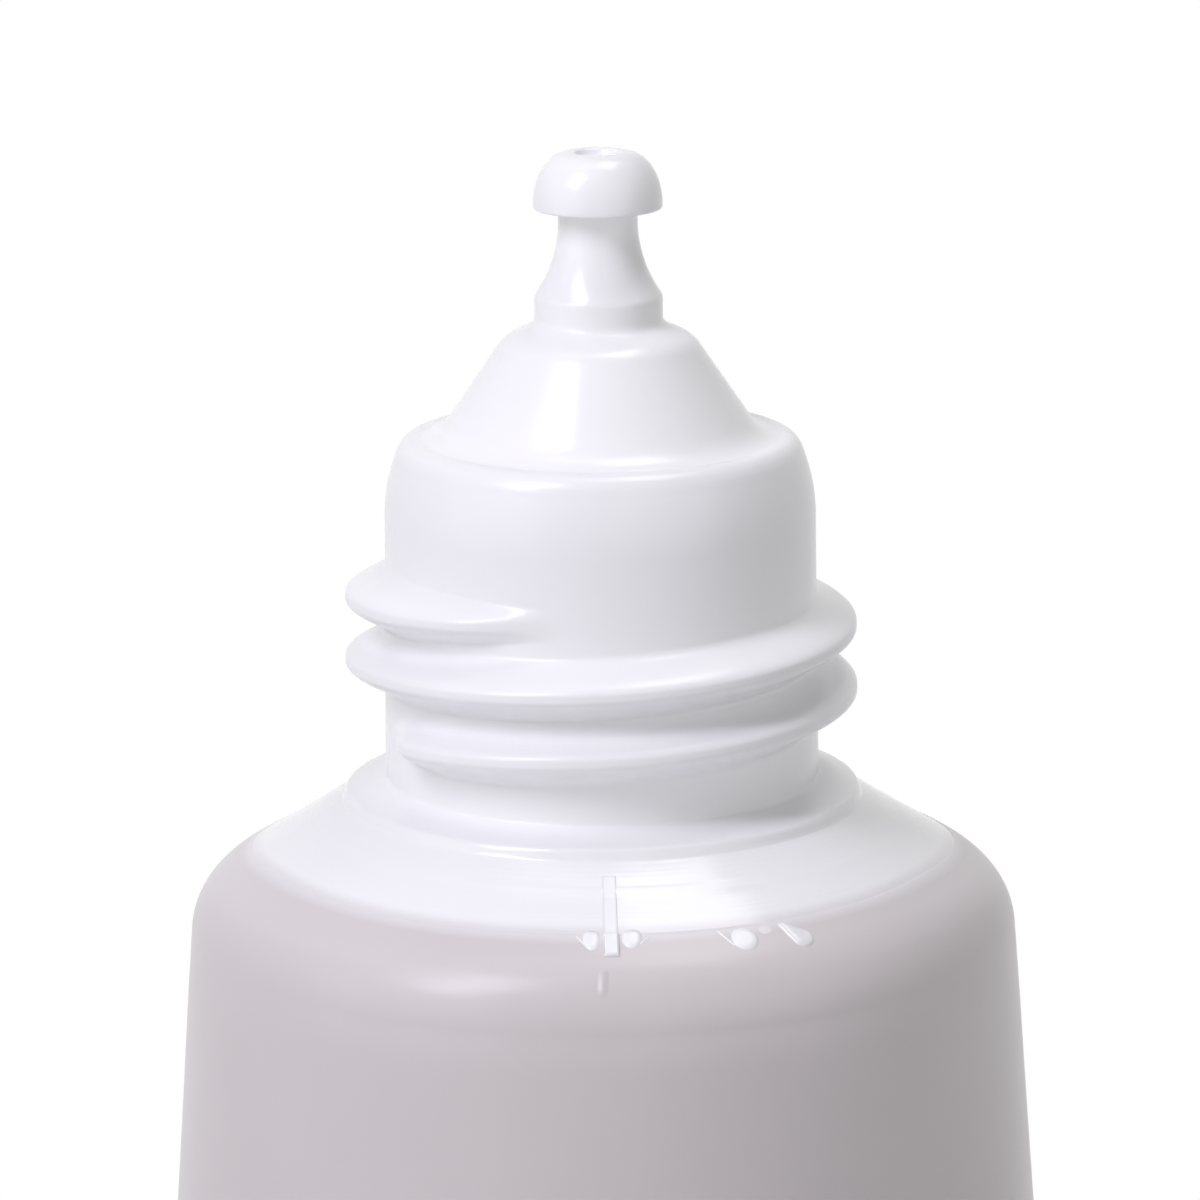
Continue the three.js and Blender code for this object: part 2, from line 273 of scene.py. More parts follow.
def on_collar(radius):
    """A point of the collar's sloping top."""
    return (radius, collar_z + COLLAR_RISE * (COLLAR_RADIUS - radius) / (COLLAR_RADIUS - NECK_FOOT_RADIUS))


collar_foot = on_face(COLLAR_RADIUS)
fillet_start = on_face(COLLAR_RADIUS + COLLAR_FILLET)
round_end = on_collar(COLLAR_RADIUS - COLLAR_ROUND)
neck_start = (NECK_FOOT_RADIUS, collar_z + THREAD_ZONE[0])
neck_end = (NECK_RADIUS, collar_z + THREAD_ZONE[1])

head_outline = joined(
    [skirt_outer],
    corner_round(inside, 0.3)[::-1],
    [on_cone(LIP_END_RADIUS, inside), on_cone(LIP_END_RADIUS, LIP_THICKNESS)],
    drawn(on_cone(LIP_END_RADIUS, LIP_THICKNESS), (*face_break, 0.5), fillet_start, spacing=FINE),
    free_curve(fillet_start, on_face(COLLAR_RADIUS), on_collar(COLLAR_RADIUS), round_end, 24),
    drawn(round_end, (*on_collar(NECK_FOOT_RADIUS), NECK_FILLET), neck_start, spacing=0.1),
    straight(neck_start, neck_end, THREAD_SPACING),
    straight(neck_end, taper_foot, 0.1),
    bend(taper_foot, taper_top, 0.1),
    free_curve(taper_top, rim_side, rim_top, rim_outer, 18),
    drawn(rim_outer, (BORE_RADIUS, rim_z, RIM_EDGE), bore_top, spacing=0.1),
    drawn(bore_top, (BORE_RADIUS, ledge_z), throat_top, throat_foot),
    [tuple(under_cone)],
    corner_round(inside + SHOULDER_WALL, 0.3),
    [skirt_inner, skirt_outer],
)
HEAD_STEPS = 256
head = turned("tube_head_skin", head_outline, HEAD_STEPS)

# %% [markdown]
# ## Head: thread and ring
#
# The thread is a rounded ridge that climbs the neck a little over two turns and sinks into it at both ends. A
# swept ridge would need a boolean and would leave a hard line at its root. Instead the neck's fine rows are
# pushed out in code, as with a sculpting brush: a soft bump that follows the helix. A faint ring on the
# shoulder, left by the mould's insert and not quite on the axis, is raised in the same way.

# %% Head thread
THREAD_RADIUS = 7.63
THREAD_PITCH = 1.93
THREAD_START, THREAD_END = math.radians(-76), math.radians(711)
THREAD_FOOT = 2.18
THREAD_RUN_IN, THREAD_RUN_OUT, THREAD_BLUNT = math.radians(32), math.radians(60), math.radians(27)
THREAD_SINK, THREAD_BLEND = 0.55, 0.3
THREAD_CREST_HALF, THREAD_ROOT_HALF = 0.08, 1.0
THREAD_LAPS = 4
WALL_SLACK = 0.05


def raise_thread(piece):
    """Pushes the neck's wall out along the helix."""
    points = points_of(piece)
    radius = np.hypot(points[:, 0], points[:, 1])
    height = points[:, 2] - collar_z
    angle = np.arctan2(points[:, 0], -points[:, 1])
    wall = (height > THREAD_ZONE[0]) & (height < THREAD_ZONE[1]) & (radius > NECK_RADIUS - WALL_SLACK)
    push = np.zeros(len(points))
    for turn in range(THREAD_LAPS):
        along = angle + turn * math.tau - THREAD_START
        left = THREAD_END - THREAD_START - along
        off = np.abs(height - THREAD_FOOT - THREAD_PITCH * along / math.tau)
        swell = 1 - smoothstep(off, THREAD_CREST_HALF, THREAD_ROOT_HALF)
        sink = THREAD_SINK * (1 - smoothstep(along, 0, THREAD_RUN_IN) * smoothstep(left, 0, THREAD_RUN_OUT))
        above = np.maximum(swell - sink, 0)
        ridge = above**2 / (above + THREAD_BLEND * sink + 1e-6)
        blunt = smoothstep(along, 0, THREAD_BLUNT) * smoothstep(left, 0, THREAD_BLUNT)
        push = np.maximum(push, wall * ridge * blunt * (THREAD_RADIUS - NECK_RADIUS))
    points[:, :2] *= (1 + push / np.maximum(radius, 1e-9))[:, None]
    move_points(piece, points)
    print(f"thread raised {push.max():.2f} mm on {np.count_nonzero(push)} vertices")


raise_thread(head)

# %% Shoulder ring
RING_RADIUS, RING_SHIFT = 8.85, 0.3
RING_HEIGHT, RING_SPREAD = 0.012, 0.14
FACE_DEPTH, FACE_TOP_DROP = 0.3, 0.35


def cone_height(radius, depth):
    """Height of the shoulder's cone at many radii, a depth inside the sleeve's skin."""
    return lip_z - (radius - LIP_RADIUS) * math.tan(SHOULDER_SLOPE) - depth / outward[1]


def raise_ring(piece):
    """Swells the faint ring on the shoulder's face."""
    points = points_of(piece)
    radius = np.hypot(points[:, 0], points[:, 1])
    off = np.hypot(points[:, 0] - RING_SHIFT, points[:, 1]) - RING_RADIUS
    face = (points[:, 2] > cone_height(radius, FACE_DEPTH)) & (points[:, 2] < collar_z - FACE_TOP_DROP)
    swell = face * RING_HEIGHT * np.exp(-((off / RING_SPREAD) ** 2))
    points[:, :2] *= (1 + swell * outward[0] / np.maximum(radius, 1e-9))[:, None]
    points[:, 2] += swell * outward[1]
    move_points(piece, points)
    print(f"ring raised {swell.max():.3f} mm")


raise_ring(head)

# %% [markdown]
# ## Nozzle
#
# The nozzle is one moulding too: a hollow plug with two sealing beads, a cone, a short band, a bell-shaped
# stem and a mushroom tip with a dished orifice. It is turned from one closed outline, so that the feed
# channel and the orifice are real holes. At its foot the cone flares into a thin lip that lies on the rim and
# bites into it a hair, so that no slit shows around the plug.

# %% Nozzle outline
PLUG_CLEARANCE, BEAD_CLEARANCE, SEAT_CLEARANCE = 0.06, 0.02, 0.02
BEAD_HEIGHT, BEAD_SPACING, PLUG_LEAD_IN, PLUG_WALL = 0.7, 2.2, 0.3, 0.85
CONE_FOOT_DROP, CONE_HEIGHT, CONE_TOP_RADIUS, CONE_WALL = 0.08, 2.76, 3.0, 0.9
FOOT_RADIUS, FOOT_BITE, FOOT_RISE = 5.44, 0.05, 0.55
FOOT_EDGE, FOOT_HANDLE, FOOT_RISE_HANDLE = 0.01, 0.3, 0.1
CROWN_HEIGHT, CROWN_ROUND, BAND_FILLET = 0.86, 0.6, 0.4
BAND_RADIUS, BAND_HEIGHT, BAND_ROUND = 1.91, 0.63, 0.1
STEM_RADIUS, STEM_FLARE_HEIGHT, STEM_STRAIGHT, STEM_FILLET = 1.18, 2.25, 0.37, 0.12
TIP_RADIUS, TIP_EDGE, TIP_HEIGHT, TIP_FLAT_RADIUS = 1.92, 0.12, 1.67, 1.22
TIP_CROWN, TIP_ROUND = 0.09, 0.08
TIP_SIDE_HANDLE, TIP_DOME_HANDLE, TIP_TOP_HANDLES = 0.62, 0.24, (1.05, 0.9)
ORIFICE_MOUTH_RADIUS, ORIFICE_RADIUS, ORIFICE_MOUTH_DEPTH, ORIFICE_LAND = 0.7, 0.35, 0.45, 0.8
MOUTH_ROUND, MOUTH_HANDLES, MOUTH_EDGE = 0.05, ((0.03, 0), (0.05, 0.04)), (0.08, 0.12)
FEED_RADIUS = 0.7

plug_radius = BORE_RADIUS - PLUG_CLEARANCE
foot_z = ledge_z + SEAT_CLEARANCE
cone_foot_z, cone_top_z = rim_z - CONE_FOOT_DROP, rim_z + CONE_HEIGHT
band_foot_z = cone_top_z + CROWN_HEIGHT
band_top_z = band_foot_z + BAND_HEIGHT
stem_z = band_top_z + STEM_FLARE_HEIGHT
tip_foot_z = stem_z + STEM_STRAIGHT
tip_top_z = tip_foot_z + TIP_HEIGHT
cone_slope = (plug_radius - CONE_TOP_RADIUS) / (cone_top_z - cone_foot_z)
cone_side = math.hypot(1, cone_slope)


def plug_side():
    """The plug's side from its foot up, with its two sealing beads."""
    side = [(plug_radius - PLUG_LEAD_IN, foot_z), (plug_radius, foot_z + PLUG_LEAD_IN)]
    # A Bezier curve goes three quarters of the way to its handles
    crest_x = plug_radius + 4 / 3 * (PLUG_CLEARANCE - BEAD_CLEARANCE)
    for bead_z in (foot_z + BEAD_SPACING, foot_z + 2 * BEAD_SPACING):
        low, high = bead_z - BEAD_HEIGHT / 2, bead_z + BEAD_HEIGHT / 2
        side += free_curve((plug_radius, low), (crest_x, bead_z), (crest_x, bead_z), (plug_radius, high), 9)
    return side


def on_nozzle_cone(height):
    """A point of the cone, a height above the neck's rim."""
    return (plug_radius - cone_slope * (height + CONE_FOOT_DROP), rim_z + height)


foot_edge = (FOOT_RADIUS, rim_z - FOOT_BITE)
foot_top = (FOOT_RADIUS, rim_z - FOOT_EDGE)
wall_across = CONE_WALL * cone_side
hollow_radius = plug_radius - PLUG_WALL
hollow_foot = (hollow_radius, cone_foot_z - (wall_across - PLUG_WALL) / cone_slope)
roof = (CONE_TOP_RADIUS - wall_across + CONE_WALL * cone_slope, cone_top_z - CONE_WALL)
land_top_z = tip_top_z - ORIFICE_MOUTH_DEPTH
crown_handle = (CONE_TOP_RADIUS - CROWN_ROUND * cone_slope / cone_side, cone_top_z + CROWN_ROUND / cone_side)
flare = bend((STEM_RADIUS, stem_z), (BAND_RADIUS, band_top_z))[::-1]
dome_foot, dome_top = (TIP_RADIUS, tip_foot_z + TIP_EDGE), (TIP_FLAT_RADIUS, tip_top_z - TIP_CROWN)
dome_side = (TIP_RADIUS, dome_foot[1] + TIP_SIDE_HANDLE)
dome_shoulder = (TIP_RADIUS - TIP_DOME_HANDLE, dome_top[1] - TIP_DOME_HANDLE)
dome = free_curve(dome_foot, dome_side, dome_shoulder, dome_top, 30)
mouth_top = (ORIFICE_MOUTH_RADIUS + MOUTH_ROUND, tip_top_z)
mouth_round = [(ORIFICE_MOUTH_RADIUS - x, tip_top_z - y) for x, y in (*MOUTH_HANDLES, MOUTH_EDGE)]

nozzle_outline = joined(
    [(hollow_radius, foot_z)],
    plug_side(),
    [(plug_radius, rim_z - 2 * FOOT_BITE), foot_edge, foot_top],
    free_curve(foot_top, (FOOT_RADIUS - FOOT_HANDLE, rim_z), on_nozzle_cone(FOOT_RISE_HANDLE),
               on_nozzle_cone(FOOT_RISE), 18),
    straight(on_nozzle_cone(FOOT_RISE), (CONE_TOP_RADIUS, cone_top_z), 0.12),
    free_curve((CONE_TOP_RADIUS, cone_top_z), crown_handle, (BAND_RADIUS, band_foot_z - BAND_FILLET),
               (BAND_RADIUS, band_foot_z), 20),
    drawn((BAND_RADIUS, band_foot_z), (BAND_RADIUS, band_top_z, BAND_ROUND), flare[3], spacing=0.1),
    flare[3:],
    drawn(flare[-1], (STEM_RADIUS, tip_foot_z, STEM_FILLET), (TIP_RADIUS, tip_foot_z, TIP_ROUND), dome[0],
          spacing=0.08),
    dome,
    free_curve(dome_top, *((radius, tip_top_z) for radius in TIP_TOP_HANDLES), mouth_top, 10),
    free_curve(mouth_top, *mouth_round, 8),
    straight(mouth_round[-1], (ORIFICE_RADIUS, land_top_z), 0.08),
    [(ORIFICE_RADIUS, land_top_z - ORIFICE_LAND), (FEED_RADIUS, land_top_z - ORIFICE_LAND)],
    [(FEED_RADIUS, cone_top_z), roof, hollow_foot, (hollow_radius, foot_z)],
)
NOZZLE_STEPS = 160
nozzle = turned("dropper_nozzle_skin", nozzle_outline, NOZZLE_STEPS)

# %% [markdown]
# ## Sleeve
#
# The sleeve starts as a plain turned tube that bulges a hair below its corner. Its tail is then pressed flat
# in code with its girth unchanged, as the welding jaws do it, so that the round top turns into a flat band
# that is half the girth wide.

# %% Sleeve outline
SEAL_HEIGHT = 6.0
SEAL_SLIT = 0.1
SEAL_EDGE_TAPER = 4.0
FLATTEN_EASE = 1.1
LIP_SINK = 0.005
BULGE, BULGE_REACH = 0.1, 0.8
FINE_STRETCH = 4
LIP_HANDLES = (0.1, 0), (0.03, 0.01)

lip_under = LIP_THICKNESS + LIP_SINK
slot_end = LIP_END_RADIUS + MOULD_GAP
wall_inner = SLEEVE_RADIUS - SLEEVE_WALL
sleeve_outline = joined(
    [(0, 0)],
    straight((1, 0), (SLEEVE_RADIUS, 0), 2),
    straight((SLEEVE_RADIUS, 0), (SLEEVE_RADIUS, SEAL_HEIGHT), 0.1),
    straight((SLEEVE_RADIUS, SEAL_HEIGHT), (SLEEVE_RADIUS, flatten_z - FINE_STRETCH), 1.2),
    straight((SLEEVE_RADIUS, flatten_z - FINE_STRETCH), (SLEEVE_RADIUS, corner_z), 0.2),
    corner_round(0)[::-1],
    straight(on_cone(cone_foot_x), on_cone(LIP_RADIUS + LIP_ROUND), FINE),
    free_curve(on_cone(LIP_RADIUS + LIP_ROUND), *(on_cone(LIP_RADIUS + x, depth) for x, depth in LIP_HANDLES),
               on_cone(LIP_RADIUS, lip_under), 8),
    [on_cone(slot_end, lip_under), on_cone(slot_end, SLEEVE_WALL)],
    corner_round(SLEEVE_WALL, 0.3),
    straight((wall_inner, flatten_z), (wall_inner, SEAL_HEIGHT), 2),
    [(0, SEAL_HEIGHT)],
)
SLEEVE_STEPS = 256
sleeve = turned("tube_sleeve_skin", sleeve_outline, SLEEVE_STEPS)

# %% Press the tail flat
CRIMP_PITCH, CRIMP_DEPTH = 0.8, 0.07
CRIMP_START, CRIMP_EASE = (0.2, 0.5), 0.5


def press_tail(piece):
    """Presses the turned sleeve flat towards its tail and embosses the weld with fine ribs."""
    points = points_of(piece)
    radius = np.hypot(points[:, 0], points[:, 1])
    height = points[:, 2]
    safe = np.maximum(radius, 1e-9)
    cosine, sine = np.clip(points[:, 0] / safe, -1, 1), points[:, 1] / safe
    layer = np.clip((radius - wall_inner) / SLEEVE_WALL, 0, 1)
    below = np.maximum(corner_z - height, 0)
    bulge = BULGE * layer * (1 - np.exp(-below / BULGE_REACH)) * smoothstep(height, SEAL_HEIGHT, corner_z / 2)
    share = np.clip((flatten_z - height) / (flatten_z - SEAL_HEIGHT), 0, 1) ** FLATTEN_EASE
    over_band = smoothstep(height, SEAL_HEIGHT - CRIMP_EASE, SEAL_HEIGHT)
    in_band = smoothstep(height, *CRIMP_START) * (1 - over_band)
    rib = CRIMP_DEPTH * in_band * (0.5 + 0.5 * np.cos(math.tau * height / CRIMP_PITCH))
    half = SEAL_SLIT / 2 + (SLEEVE_WALL - SEAL_SLIT / 2 - rib) * layer
    side = np.clip(sine * SEAL_EDGE_TAPER, -1, 1) * np.minimum(1, radius)
    grown = radius + bulge
    points[:, 0] = grown * (cosine * (1 - share) + np.arcsin(cosine) * share)
    points[:, 1] = grown * sine * (1 - share) + half * side * share
    move_points(piece, points)
    print(f"tail is {np.ptp(points[height < 1, 0]):.1f} mm wide")


press_tail(sleeve)

# %% [markdown]
# ## The sleeve's edge isn't true
#
# The tube is pressed in a little at its front, and the sleeve's edge doesn't sit true: it lies closer to the
# neck at the front than at the back. The same slide along the cone moves the sleeve's edge and the head's
# face under it, so that they stay together. Before the slide, both get a tint value that fades away from
# the edge. On the sleeve it is paler there: partly the thin film over the white head, partly painted light
# where the sleeve faces up to the lamps above. On the head it is painted shade that darkens the white
# towards the sleeve's colour at the edge. As far as the head backs it, the sleeve stays a little paler than
# the free wall below: partly the white behind the film, partly painted light on the up-facing cone.

# %% Uneven edge
LIP_NEAR, LIP_FAR = 0.33, 0.62
LIP_TURN = (60, 125)
FRONT_PRESS, PRESS_TURN, PRESS_FADE = 0.36, (50, 100), 6
SLEEVE_PALE_AND_PAINTED_LIGHT_WIDTH, HEAD_PAINTED_SHADE_WIDTH = 0.6, 0.45
BACKED_AND_PAINTED_LIGHT_TINT, BACKED_AND_PAINTED_LIGHT_REACH = 0.14, (1.6, 1.95)
TINT_TOP_DROP = 0.3


def paint_edge_light_and_tint(piece, width):
    """Stores how near the shoulder's points lie to the sleeve's edge, from 1 there to 0 a width away."""
    points = points_of(piece)
    radius = np.hypot(points[:, 0], points[:, 1])
    on_shoulder = (points[:, 2] > corner_z) & (points[:, 2] < collar_z - TINT_TOP_DROP)
    way = np.abs(radius - LIP_RADIUS) / outward[1]
    # Near the edge the tint paints light on the sleeve and shade on the head. Beyond the edge a faint band
    # paints light on the sleeve's up-facing cone, partly for the white head behind the film.
    backed_and_lit = BACKED_AND_PAINTED_LIGHT_TINT * (1 - smoothstep(way, *BACKED_AND_PAINTED_LIGHT_REACH)) * (radius > LIP_RADIUS)
    tint = on_shoulder * np.maximum(1 - smoothstep(way, 0, width), backed_and_lit)
    layer = piece.data.attributes.new("edge_tint_and_painted_light", "FLOAT", "POINT")
    layer.data.foreach_set("value", tint)
    print(f"{piece.name}: {np.count_nonzero(tint)} points near the edge")


def slide_lip(piece):
    """Slides the sleeve's edge along the cone, and presses the front of the tube in."""
    points = points_of(piece)
    radius = np.hypot(points[:, 0], points[:, 1])
    height = points[:, 2]
    turned_away = np.degrees(np.abs(np.arctan2(points[:, 0], -points[:, 1])))
    reach = (LIP_NEAR + LIP_FAR) * smoothstep(turned_away, *LIP_TURN) - LIP_NEAR
    press = FRONT_PRESS * (smoothstep(turned_away, *PRESS_TURN) - 1)
    rise = smoothstep(radius, COLLAR_RADIUS + COLLAR_FILLET, LIP_RADIUS) * (height < collar_foot[1])
    fall = np.clip((cone_foot_x - radius) / (cone_foot_x - LIP_RADIUS), 0, 1) * (height > corner_z)
    slide = rise * (press + fall * (reach - press)) * smoothstep(height, corner_z / 3, corner_z)
    points[:, :2] *= (1 + slide / np.maximum(radius, 1e-9))[:, None]
    points[:, 2] -= slide * math.tan(SHOULDER_SLOPE) * smoothstep(height, corner_z - PRESS_FADE, corner_z)
    move_points(piece, points)
    print(f"{piece.name}: edge slid by {slide.min():.2f} to {slide.max():.2f} mm")


for piece, width in ((sleeve, SLEEVE_PALE_AND_PAINTED_LIGHT_WIDTH), (head, HEAD_PAINTED_SHADE_WIDTH)):
    paint_edge_light_and_tint(piece, width)
    slide_lip(piece)

# %% [markdown]
# ## Moulding marks
#
# Where the hot plastic was let in, at the front of the shoulder, the mould left a low strip with a nib at its
# end, and the melt crept over the sleeve's edge in small tongues. A fine sheet is laid over that stretch and
# raised by a relief, like a sculpting stencil: ovals and bars with rounded edges. Only where the relief rises
# is the sheet kept and thickened. Places are millimetres across from an azimuth, and down the slope from the
# nominal edge.

# %% Relief helpers
SHEET_CELL, SHEET_SINK, SHEET_THICKNESS = 0.025, 0.03, 0.06
FACE_BREAK_EASE, LIP_EASE = 0.15, (0.15, 0.1)
lip_down = -LIP_NEAR / outward[1]
front_cone = cone_length - FRONT_PRESS / outward[1]


def skin_at(down):
    """Radius, height and slope of the sleeve's skin, a way down from the nominal edge."""
    slope = SHOULDER_SLOPE + np.maximum(0, down - front_cone) / CORNER_RADIUS
    cone = np.minimum(down, front_cone)
    radius = LIP_RADIUS + cone * outward[1] + CORNER_RADIUS * (np.sin(slope) - outward[0])
    height = lip_z - cone * outward[0] + CORNER_RADIUS * (np.cos(slope) - outward[1])
    return radius, height, slope


def face_depth(down):
    """How deep the head's face lies under the line of the sleeve's skin, and 0 below the edge."""
    radius = LIP_RADIUS + down * outward[1]
    steeper = (math.tan(FACE_INNER_SLOPE) - math.tan(SHOULDER_SLOPE)) * outward[1]
    above = np.maximum(0, FACE_BREAK_RADIUS - FACE_BREAK_EASE - radius) * steeper
    return LIP_THICKNESS * (1 - smoothstep(down, lip_down - LIP_EASE[0], lip_down + LIP_EASE[1])) - above


def oval(across, down, center, half, lean=0.0):
    """About how far points lie outside an oval. Inside is negative. Lean is degrees."""
    turn = math.radians(lean)
    x, y = across - center[0], down - center[1]
    wide = (x * math.cos(turn) + y * math.sin(turn)) / half[0]
    tall = (y * math.cos(turn) - x * math.sin(turn)) / half[1]
    return (np.hypot(wide, tall) - 1) * min(half)


def bar(across, down, start, end, half, end_half=None):
    """How far points lie outside a bar with round ends, which may widen towards its end."""
    way = np.subtract(end, start)
    share = np.clip(((across - start[0]) * way[0] + (down - start[1]) * way[1]) / way.dot(way), 0, 1)
    wide = half + ((end_half or half) - half) * share
    return np.hypot(across - start[0] - share * way[0], down - start[1] - share * way[1]) - wide


def block(across, down, center, half):
    """How far points lie outside an upright rectangle."""
    return np.maximum(np.abs(across - center[0]) - half[0], np.abs(down - center[1]) - half[1])


def raised(outside, height, edge):
    """A flat rise with a rounded edge, zero outside its outline."""
    share = np.clip(-outside / edge, 0, 1)
    return height * np.sqrt(1 - (1 - share) ** 2)


def sheet(name, azimuth, sides, ends, relief, sink=SHEET_SINK, tint=None):
    """A sheet on the shoulder between sides (across) and ends (down), kept where its relief rises."""
    cells = [round((high - low) / SHEET_CELL) for low, high in (sides, ends)]
    bpy.ops.object.select_all(action="DESELECT")
    bpy.ops.mesh.primitive_grid_add(x_subdivisions=cells[0], y_subdivisions=cells[1], size=2 * MM)
    piece = bpy.context.object
    piece.name = piece.data.name = name
    flat = points_of(piece)
    across = np.interp(flat[:, 0], (-1, 1), sides)
    down = np.interp(-flat[:, 1], (-1, 1), ends)
    rise = relief(across, down)
    radius, height, slope = skin_at(down)
    lift = rise - face_depth(down) - sink
    angle = math.radians(azimuth) + across / radius
    reach = radius + lift * np.sin(slope)
    laid = (reach * np.sin(angle), -reach * np.cos(angle), height + lift * np.cos(slope))
    move_points(piece, np.column_stack(laid))
    layer = piece.data.attributes.new("edge_tint_and_painted_light", "FLOAT", "POINT")
    layer.data.foreach_set("value", tint(across, down) if tint else np.zeros(len(rise)))
    trim_and_thicken(piece, rise > 0)
    return piece


def trim_and_thicken(piece, keep):
    """Deletes the faces with no kept point and makes a closed shell of the rest."""
    bpy.ops.object.mode_set(mode="EDIT")
    bpy.ops.mesh.select_mode(type="FACE")
    bpy.ops.mesh.select_all(action="DESELECT")
    bpy.ops.object.mode_set(mode="OBJECT")
    for face in piece.data.polygons:
        face.select = not keep[list(face.vertices)].any()
    bpy.ops.object.mode_set(mode="EDIT")
    bpy.ops.mesh.delete(type="FACE")
    bpy.ops.mesh.select_mode(type="VERT")
    bpy.ops.object.mode_set(mode="OBJECT")
    shell = piece.modifiers.new("shell", "SOLIDIFY")
    shell.thickness = SHEET_THICKNESS * MM
    shell.offset = -1
    bpy.ops.object.modifier_apply(modifier=shell.name)
    bpy.ops.object.mode_set(mode="EDIT")
    close_mesh()


# %% Strip, nib and tongues
GATE_AZIMUTH, FLASH_AZIMUTH = 1.15, 26.0
GATE_SIDES, GATE_ENDS = (-1.1, 1.25), (-2.75, 0.65)
FLASH_SIDES, FLASH_ENDS = (-1.5, 1.6), (-0.7, 1.0)
STRIP, STRIP_HEIGHT, STRIP_EDGE = ((0, -1.45), (0.23, 1.17)), 0.045, 0.05
NIB, NIB_HEIGHT, NIB_EDGE = ((0.02, 0.09), (0.22, 0.45)), 0.14, 0.09
FLASH_HEIGHT, FLASH_EDGE = 0.1, 0.2
TONGUES = ((-0.56, -0.15), (0.25, 0.45)), ((0.60, -0.18), (0.30, 0.42))
HORNS = ((-0.97, -0.24), (-0.74, 0.08)), ((0.86, 0.06), (1.10, -0.20))
HORN_HALF, HORN_HEIGHT = 0.04, 0.05
DISC, DISC_LEAN = ((-0.66, 0.18), (0.40, 0.46)), 20
WHISKER = (-1.33, -0.24), (-1.08, 0.36)
SADDLE, SADDLE_HEIGHT = ((0.08, -0.05), (0.42, 0.32)), 0.03
LEANING_TONGUE, LEANING_HALVES = ((0.70, -0.14), (1.11, 0.46)), (0.14, 0.36)
TONGUE_ROOT = 0.25
STRIP_SHADE_LINE = (0.12, 0.2)
THIN_TINT, THIN_FROM, THICK_FROM, THICK_SHARE = 0.7, (-0.3, -0.1), (1.15, 1.35), 0.6


def over_edge(down):
    """0 on the head's face and 1 beyond the sleeve's edge, so that a tongue grows out of the face."""
    return smoothstep(down, lip_down - TONGUE_ROOT, lip_down)


def horn(across, down, ends):
    """A fine whisker of melt."""
    return raised(bar(across, down, *ends, HORN_HALF), HORN_HEIGHT, HORN_HALF)


def gate_relief(across, down):
    """The strip with its nib, and on each side a tongue with a horn."""
    strip = raised(block(across, down, *STRIP), STRIP_HEIGHT, STRIP_EDGE)
    nib = raised(block(across, down, *NIB), NIB_HEIGHT, NIB_EDGE)
    tongues = [raised(oval(across, down, *place), FLASH_HEIGHT, FLASH_EDGE) for place in TONGUES]
    horns = [horn(across, down, ends) for ends in HORNS]
    crept = np.maximum.reduce(tongues + horns) * over_edge(down)
    return np.maximum.reduce([strip, nib, crept])


def flash_relief(across, down):
    """A round tongue with a whisker, a low saddle and a longer leaning tongue."""
    disc = raised(oval(across, down, *DISC, DISC_LEAN), FLASH_HEIGHT, FLASH_EDGE)
    whisker = horn(across, down, WHISKER)
    saddle = raised(oval(across, down, *SADDLE), SADDLE_HEIGHT, FLASH_EDGE)
    leaning = raised(bar(across, down, *LEANING_TONGUE, *LEANING_HALVES), FLASH_HEIGHT, FLASH_EDGE)
    return np.maximum.reduce([disc, whisker, saddle, leaning]) * over_edge(down)


def gate_painted_shade_lines(across, down):
    """Painted shade: fine grey lines along both sides of the strip, in place of the shade of fine grooves
    there.
    """
    return smoothstep(np.abs(across), *STRIP_SHADE_LINE) * (down < lip_down)


def flash_tint(across, down):
    """The thin saddle and the leaning tongue let the sleeve show through."""
    thick = THICK_SHARE * smoothstep(across, *THICK_FROM)
    return THIN_TINT * smoothstep(across, *THIN_FROM) * (1 - thick)


marks = [
    sheet("gate", GATE_AZIMUTH, GATE_SIDES, GATE_ENDS, gate_relief, tint=gate_painted_shade_lines),
    sheet("flash", FLASH_AZIMUTH, FLASH_SIDES, FLASH_ENDS, flash_relief, tint=flash_tint),
]
bpy.ops.object.select_all(action="DESELECT")
for mark in marks:
    mark.select_set(True)
bpy.context.view_layer.objects.active = marks[0]
bpy.ops.object.join()
mould_marks = bpy.context.object
mould_marks.name = mould_marks.data.name = "mould_marks"
print("moulding marks", len(mould_marks.data.polygons), "faces")

# %% [markdown]
# ## Crease in the sleeve
#
# Below the nib the sleeve has a short upright crease, where its film folded over the shoulder. It could be
# sculpted into the sleeve, but the sleeve's columns of points are far wider than the crease. So it is one
# more fine sheet, sunk by less than a hundredth of a millimetre, in the sleeve's own plastic.

# %% Crease
CREASE_AZIMUTH, CREASE_SIDES = -0.1, (-0.3, 0.3)
CREASE_FROM, CREASE_TO = 0.9, 1.95
CREASE_EASE_IN, CREASE_EASE_OUT = 0.2, 0.3
CREASE_HEIGHT, CREASE_HALF = 0.035, 0.12
CREASE_SINK, CREASE_TRIM = 0.004, 0.002


def crease_relief(across, down):
    """A soft upright fold below the nib."""
    starts = smoothstep(down, CREASE_FROM, CREASE_FROM + CREASE_EASE_IN)
    along = starts * (1 - smoothstep(down, CREASE_TO - CREASE_EASE_OUT, CREASE_TO))
    return np.maximum(0, CREASE_HEIGHT * along * np.exp(-((across / CREASE_HALF) ** 2)) - CREASE_TRIM)


crease = sheet("sleeve_crease", CREASE_AZIMUTH, CREASE_SIDES, (CREASE_FROM, CREASE_TO), crease_relief,
               sink=CREASE_SINK)
print("crease", len(crease.data.polygons), "faces")

# %% [markdown]
# ## Building materials from nodes
#
# A finish is a small node tree. One helper adds a node and fills its sockets, so that a material reads from
# top to bottom. What two plastics share is made once as a node group and placed in each with its own values.

